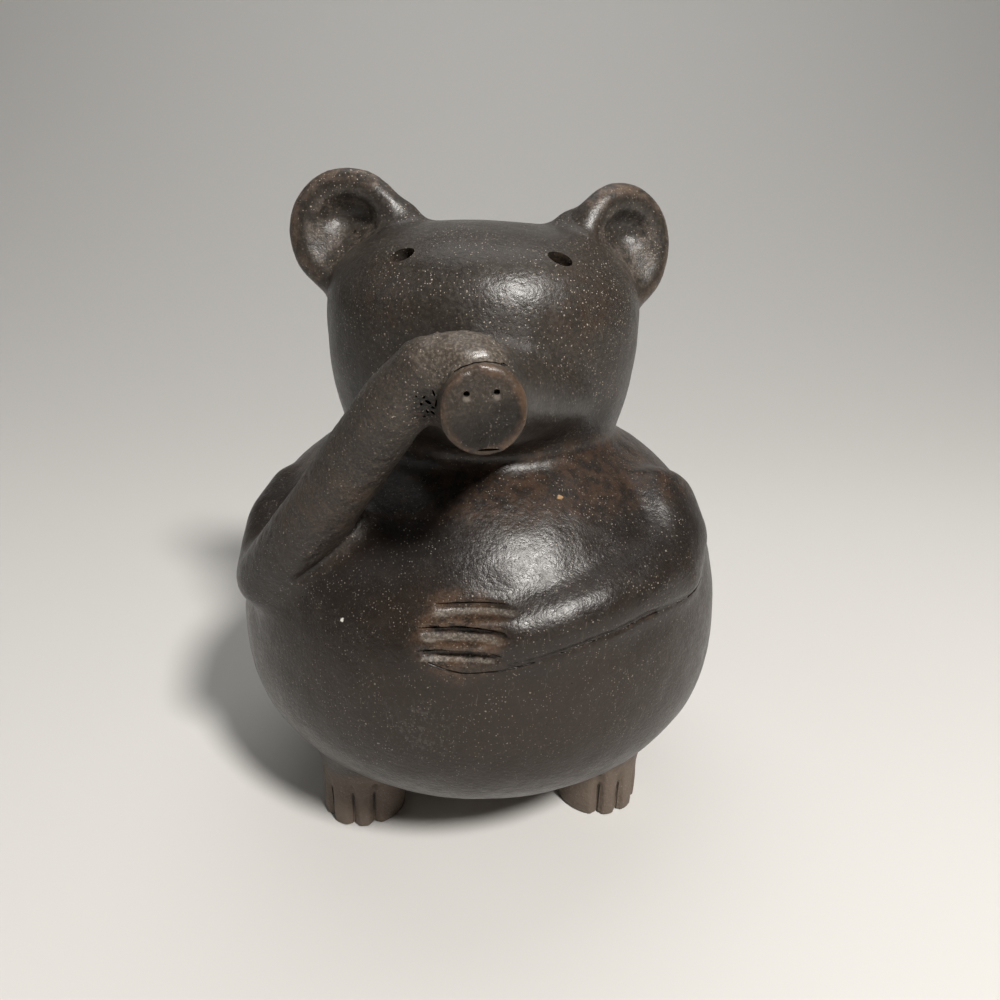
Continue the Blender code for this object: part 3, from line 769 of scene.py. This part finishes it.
def burnished_clay():
    """Dark fired clay, rubbed to a soft shine, with pale sand specks and reddish wear, and with painted light: a
    lighter head, painted highlights on the ears, the lips of cuts and the grains, and painted shade in the
    grooves and beside the palm.
    """
    b = Bench("burnished_clay")
    height = b.along((0, 0, 0), (0, 0, 1))
    cloud = b.noise(14.0, detail=3.0)
    patch = b.noise(4.0, detail=4.0, roughness=0.6)
    grit = b.noise(0.9, detail=3.0, roughness=0.65)
    rub = b.noise(3.2, detail=5.0, roughness=0.7).clear_of(0.40, 0.62)
    fleck = b.noise(0.5, detail=3.0, roughness=0.6).clear_of(0.44, 0.66)

    # Places: the feet, the free forearm, the ears' rims and bowls
    feet = 1 - (height + (patch - 0.5) * 9.0).clear_of(13.0, 19.0)
    elbow = on_body(*ELBOW)[0]
    reach = hand_stations()[1][0] - elbow
    step = b.along(elbow, reach)
    middle = (step.most(0.0)).least(reach.length)
    off = b.distance(elbow)
    radial = ((off * off - middle * middle).most(0.0)) ** 0.5
    past_wrist = step.clear_of(reach.length + 2, reach.length + 10)
    forearm = (1 - radial.clear_of(8.5, 11.5)) * step.clear_of(8.0, 36.0) * (1 - past_wrist)
    rims = None
    bowls = None
    for centre, turn_out in ((LEFT_EAR, LEFT_EAR_TURN), (RIGHT_EAR, RIGHT_EAR_TURN)):
        look = ear_turn(turn_out) @ Vector((0, 0, 1))
        away = b.distance(centre)
        outward = b.along(centre, Vector((centre.x, 0, 22))).clear_of(-6.0, 2.0)
        rim = away.clear_of(10.5, 13.0) * (1 - away.clear_of(17.0, 19.0)) * outward
        bowl = (1 - away.clear_of(8.0, 11.0)) * b.along(centre, look).clear_of(-2.0, 0.5)
        rims = rim if rims is None else rims.most(rim)
        bowls = bowl if bowls is None else bowls.most(bowl)

    # Places where hands rub: fingers, the neck crease, the snout's rim, under the eyes, edges
    fingers = 1 - (b.distance(on_body(FINGERS[0], 0.40)[0]) + (patch - 0.5) * 6.0).clear_of(6.0, 11.0)
    neck_height = BODY_Z + BODY_TOP - 8.0
    neck = 1 - ((height - neck_height) ** 2.0).clear_of(12.0, 70.0)
    from_tip = b.distance(SNOUT_TIP)
    snout_end = b.along(SNOUT_TIP, snout_look())
    snout_rim = snout_end.clear_of(-2.2, -0.7) * (1 - snout_end.clear_of(-0.12, 0.0))
    snout_rim = snout_rim * (1 - from_tip.clear_of(9.5, 12.0))
    under_eyes = b.close_to(on_head(-34, 5.0)[0], 3.0, 12.0).most(b.close_to(on_head(34, 5.0)[0], 3.0, 12.0))
    edge = b.add("ShaderNodeNewGeometry", {}, {}, "Pointiness")
    ridge = edge.clear_of(0.512, 0.56)
    # Concave places, darkened below as painted shade
    groove_shade = 1 - edge.clear_of(0.44, 0.492)

    # Brown black clay, browner on the belly; the head is a lighter grey, partly its greyer clay and partly
    # painted light where the key lamp falls from above
    dark = (0.0110, 0.0090, 0.0080, 1.0)
    brown = (0.0200, 0.0130, 0.0090, 1.0)
    light_brown = (0.034, 0.025, 0.019, 1.0)
    head_grey_and_painted_light = (0.040, 0.034, 0.028, 1.0)
    belly = 1 - (height + (cloud - 0.5) * 30.0).clear_of(50.0, 90.0)
    head = (height + (cloud - 0.5) * 12.0).clear_of(100.0, 112.0)
    colour = b.blend((cloud.clear_of(0.36, 0.66) * 0.6).most(belly * 0.85), dark, brown)
    colour = b.blend(patch.clear_of(0.48, 0.80) * 0.35, colour, light_brown)
    colour = b.blend(head * (0.35 + grit.clear_of(0.42, 0.66) * 0.5), colour, head_grey_and_painted_light)

    # Orange brown and worn brown where hands rub
    orange = (0.086, 0.047, 0.027, 1.0)
    worn_finger = (0.120, 0.088, 0.062, 1.0)
    worn = (rims * 0.8).most(fingers * 0.75).most(neck * 0.45).most(under_eyes * 0.22)
    colour = b.blend(worn * rub * 0.7, colour, orange)
    colour = b.blend(fingers * fleck * 0.35, colour, worn_finger)

    # The snout's flat end: dark below, lighter above, orange at its rim
    face_dark = (0.0105, 0.0082, 0.0065, 1.0)
    face_light = (0.052, 0.042, 0.033, 1.0)
    rim_orange = (0.078, 0.044, 0.025, 1.0)
    face = (1 - from_tip.clear_of(7.6, 9.0)) * snout_end.clear_of(-1.2, -0.5)
    upper = (b.along(SNOUT_TIP, (-0.3, 0, 1)) + (patch - 0.5) * 5.0).clear_of(-3.0, 4.0)
    colour = b.blend(face, colour, face_dark)
    colour = b.blend(face * upper * (0.4 + fleck * 0.5), colour, face_light)
    face_rim = face.most(snout_rim) * (from_tip + (patch - 0.5) * 4.0).clear_of(5.2, 6.8)
    colour = b.blend(face_rim * (0.30 + rub * 0.45), colour, rim_orange)

    # Paler, duller clay on the forearm, the hand and the edges; on the ears' bowls and rims the pale grey is
    # partly paler clay and partly a painted highlight where the key lamp falls
    grey = (0.150, 0.125, 0.104, 1.0)
    forearm_brown = (0.072, 0.056, 0.044, 1.0)
    hand_brown = (0.150, 0.124, 0.100, 1.0)
    edge_brown = (0.120, 0.080, 0.055, 1.0)
    # Painted highlight, partly paler clay, in the ears' bowls and on their rims
    colour = b.blend((bowls * 0.8).most(rims * 0.6) * rub * (0.35 + fleck * 0.65), colour, grey)
    colour = b.blend(forearm * (0.20 + fleck * 0.50), colour, forearm_brown)
    over_snout = b.distance(GRIP + Vector((-3.0, 5.0, 8.0))) + (patch - 0.5) * 3.0
    hand = (1 - over_snout.clear_of(5.0, 9.0)) * (1 - face)
    colour = b.blend(hand * (0.20 + fleck * 0.55), colour, hand_brown)
    colour = b.blend(ridge * 0.35 * rub, colour, edge_brown)

    # Painted highlights on the lower lips of the finger cuts and of the nostrils, where the key lamp catches
    # them
    painted_lip_highlight = (0.230, 0.205, 0.175, 1.0)
    painted_nostril_highlight = (0.180, 0.155, 0.130, 1.0)
    aside = b.along((0, 0, 0), (1, 0, 0))
    lip_highlights = None
    for low, left, right in ((72.7, -7.5, 8.0), (68.4, -9.5, 5.0), (64.3, -10.0, 4.0)):
        rise = b.along((0, 0, low), (-0.05, 0, 1))
        lip = (1 - (rise * rise).clear_of(0.02, 0.26)) * aside.within(left, right, 1)
        lip_highlights = lip if lip_highlights is None else lip_highlights.most(lip)
    lip_highlights = lip_highlights * b.along((0, -45, 0), (0, -1, 0)).clear_of(0.0, 2.0)
    # Painted highlight along the lower lip of each finger cut
    colour = b.blend(lip_highlights * (0.22 + fleck * 0.38), colour, painted_lip_highlight)
    # Painted highlight on the lower lip of each nostril
    for sign in (-1, 1):
        below = on_face(sign * NOSTRIL_SPACING + NOSTRIL_ASIDE, 2.3 + sign * NOSTRIL_LIFT)
        colour = b.blend(b.close_to(below, 0.30, 0.80) * 0.5, colour, painted_nostril_highlight)

    # The crumbly place beside the palm, with painted shadow where the hand meets the snout, the matt feet, and
    # painted shade in every groove
    painted_palm_shadow = (0.006, 0.005, 0.004, 1.0)
    crumb_red = (0.090, 0.042, 0.028, 1.0)
    foot_brown = (0.125, 0.094, 0.072, 1.0)
    painted_groove_shade = (0.007, 0.006, 0.005, 1.0)
    palm = 1 - (b.distance((-6.9, -62.4, 113.2)) + (patch - 0.5) * 3.0).clear_of(2.0, 5.0)
    palm = palm * (1 - face)
    # Painted shadow in the crevice between the hand and the snout, with darker crumbly pits in it
    colour = b.blend(palm * (0.55 + (1 - grit.clear_of(0.44, 0.56)) * 0.4), colour, painted_palm_shadow)
    colour = b.blend(palm * grit.clear_of(0.56, 0.66) * 0.6, colour, crumb_red)
    colour = b.blend(feet * 0.9, colour, foot_brown)
    # Painted shade: every concave groove is darkened
    colour = b.blend(groove_shade * 0.8, colour, painted_groove_shade)

    # Pale sand grains in three sizes, crowded in some places, with ragged outlines; partly they are painted
    # highlights standing in for glints, so they crowd more on the head, where the key lamp's highlight falls
    sand = (0.34, 0.29, 0.24, 1.0)
    crowd = b.noise(9.0, detail=2.0).clear_of(0.36, 0.62)
    crumbly = b.shaken(b.noise(0.35, detail=2.0, output="Color"), 0.22)
    specks = None
    for size, share, radius in ((1.05, 0.40, 0.170), (0.62, 0.32, 0.240), (2.3, 0.45, 0.110)):
        cells = {"Vector": crumbly, "Scale": 1 / (size * MM), "Randomness": 1.0}
        near = b.add("ShaderNodeTexVoronoi", {"feature": "F1"}, cells, "Distance")
        mark = Value(b, near.socket.node.outputs["Color"])
        picked = b.add("ShaderNodeSeparateColor", {}, {0: mark}, "Red")
        dot = (1 - near.clear_of(radius * 0.4, radius)) * picked.clear_of(share, share + 0.4)
        specks = dot if specks is None else specks.most(dot)
    # More grains on the head: painted glints around its highlight
    specks = specks * (0.22 + crowd * (0.40 + head * 0.55)) * (1 - face * 0.75)
    colour = b.blend(specks, colour, sand)

    # Short burnishing strokes run round the body, and fine scratches cross them every way
    scratch_grey = (0.15, 0.125, 0.105, 1.0)
    bent = b.shaken(b.noise(5.0, detail=1.0, output="Color"), 4.0)
    stroke_place = b.stretched((0.42, 0.42, 1.25), vector=bent)
    strokes = b.noise(1.0, detail=3.0, roughness=0.55, vector=stroke_place)
    scratch = None
    for turn in ((0.5, 0.35, 0.2), (-0.6, 0.9, 1.1), (1.2, -0.4, 2.0), (0.1, -0.9, 0.6)):
        hair = b.stretched((2.6, 2.6, 0.22), turn, bent)
        line = b.noise(1.0, detail=1.0, roughness=0.5, vector=hair).clear_of(0.71, 0.77)
        scratch = line if scratch is None else scratch.most(line)
    scratch = scratch * (0.3 + crowd * 0.7)
    colour = b.blend(scratch * 0.30, colour, scratch_grey)

    # Three marks: a chip under the neck, a white grain on the belly, and a dusty rub low on the belly
    chip = 1 - (b.distance((16.6, -37.2, 89.8)) + (grit - 0.5) * 1.6).clear_of(0.35, 0.7)
    grain = 1 - (b.distance((-25.9, -50.5, 67.8)) + (grit - 0.5) * 0.8).clear_of(0.25, 0.5)
    dust = 1 - (b.distance((-10.9, -58.5, 48.9)) + (patch - 0.5) * 14.0).clear_of(2.0, 9.0)
    dust = dust * grit.clear_of(0.50, 0.66)
    colour = b.blend(dust * 0.35, colour, (0.110, 0.100, 0.090, 1.0))
    colour = b.blend(chip * 0.8, colour, (0.34, 0.21, 0.11, 1.0))
    colour = b.blend(grain, colour, (0.62, 0.60, 0.56, 1.0))

    # Shine, least on the feet, the forearm, the ear bowls and the fold behind the hand
    unrubbed = b.close_to((4.2, -38.2, 121.6), 3.5, 7.0)
    dull = feet.most(forearm * 0.6).most(bowls * 0.30).most(unrubbed)
    rough = 0.36 + (strokes - 0.5) * 0.20 + (patch - 0.5) * 0.20 + (grit - 0.5) * 0.20
    rough = rough + specks * 0.20 + dull * 0.26
    b.feed(b.shader.inputs["Base Color"], colour)
    b.feed(b.shader.inputs["Roughness"], rough.most(0.24).least(0.9))
    b.shader.inputs["Specular IOR Level"].default_value = 0.38

    # Fine relief, in millimetres
    relief = (strokes - 0.5) * 0.055 + (grit - 0.5) * 0.110 + (patch - 0.5) * 0.10
    relief = relief + (patch - 0.5) * (forearm * 0.35 + feet * 0.25) + (grit - 0.5) * dull * 0.16
    bump = b.add("ShaderNodeBump", {}, {"Height": relief * MM, "Distance": 1.0, "Strength": 1.0})
    b.feed(b.shader.inputs["Normal"], bump)
    return b.material


def pale_room():
    """A sweep of pale paper: floor in front, curved up behind."""
    pick_nothing()
    bpy.ops.mesh.primitive_plane_add(size=5.0, location=(0, -2.2, -0.0004))
    floor = settle("floor")
    bpy.ops.object.mode_set(mode="EDIT")
    bpy.ops.mesh.select_mode(type="EDGE")
    sheet = bmesh.from_edit_mesh(floor.data)
    for edge in sheet.edges:
        edge.select_set(all(vert.co.y > 0.2 for vert in edge.verts))
    bmesh.update_edit_mesh(floor.data)
    steps = 24
    for k in range(steps):
        a = math.radians(90 / steps * (k + 0.5))
        rise = (0, 0.10 * math.cos(a), 0.10 * math.sin(a))
        bpy.ops.mesh.extrude_region_move(TRANSFORM_OT_translate={"value": rise})
    bpy.ops.mesh.extrude_region_move(TRANSFORM_OT_translate={"value": (0, 0, 1.5)})
    bpy.ops.mesh.select_mode(type="VERT")
    bpy.ops.object.mode_set(mode="OBJECT")
    bpy.ops.object.shade_smooth()
    material = bpy.data.materials.new("pale_paper")
    material.use_nodes = True
    nodes = material.node_tree.nodes
    shader = nodes["Principled BSDF"]
    shader.inputs["Base Color"].default_value = (0.63, 0.62, 0.60, 1.0)
    shader.inputs["Roughness"].default_value = 0.9
    floor.data.materials.append(material)


def pale_sky(strength, seen):
    """Even light from all round; the camera sees a plain pale backdrop."""
    world = bpy.data.worlds.new("pale_sky")
    bpy.context.scene.world = world
    world.use_nodes = True
    tree = world.node_tree
    back = tree.nodes["Background"]
    back.inputs["Color"].default_value = (1.0, 0.985, 0.965, 1.0)
    back.inputs["Strength"].default_value = strength
    backdrop = tree.nodes.new("ShaderNodeBackground")
    backdrop.inputs["Color"].default_value = seen
    backdrop.inputs["Strength"].default_value = 1.0
    path = tree.nodes.new("ShaderNodeLightPath")
    mix = tree.nodes.new("ShaderNodeMixShader")
    tree.links.new(path.outputs["Is Camera Ray"], mix.inputs[0])
    tree.links.new(back.outputs[0], mix.inputs[1])
    tree.links.new(backdrop.outputs[0], mix.inputs[2])
    tree.links.new(mix.outputs[0], tree.nodes["World Output"].inputs["Surface"])


bpy.context.scene.view_settings.view_transform = "Standard"
add_camera()
pale_room()
pale_sky(0.19, (0.80, 0.79, 0.77, 1.0))
add_lamp("key", around(31, 45, 0.80), (0, 0, 0.09), 0.13, 9.8, (1.0, 0.97, 0.93))
add_lamp("fill", around(-70, 35, 1.0), (0, 0, 0.08), 0.7, 0.6)
add_lamp("backdrop_lamp", (0.0, 0.6, 1.5), (0.0, 1.5, 0.3), 1.5, 9.0)

figurine = model_figurine()
figurine.data.materials.clear()
figurine.data.materials.append(burnished_clay())
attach(figurine, "root")
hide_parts("pig_figurine")
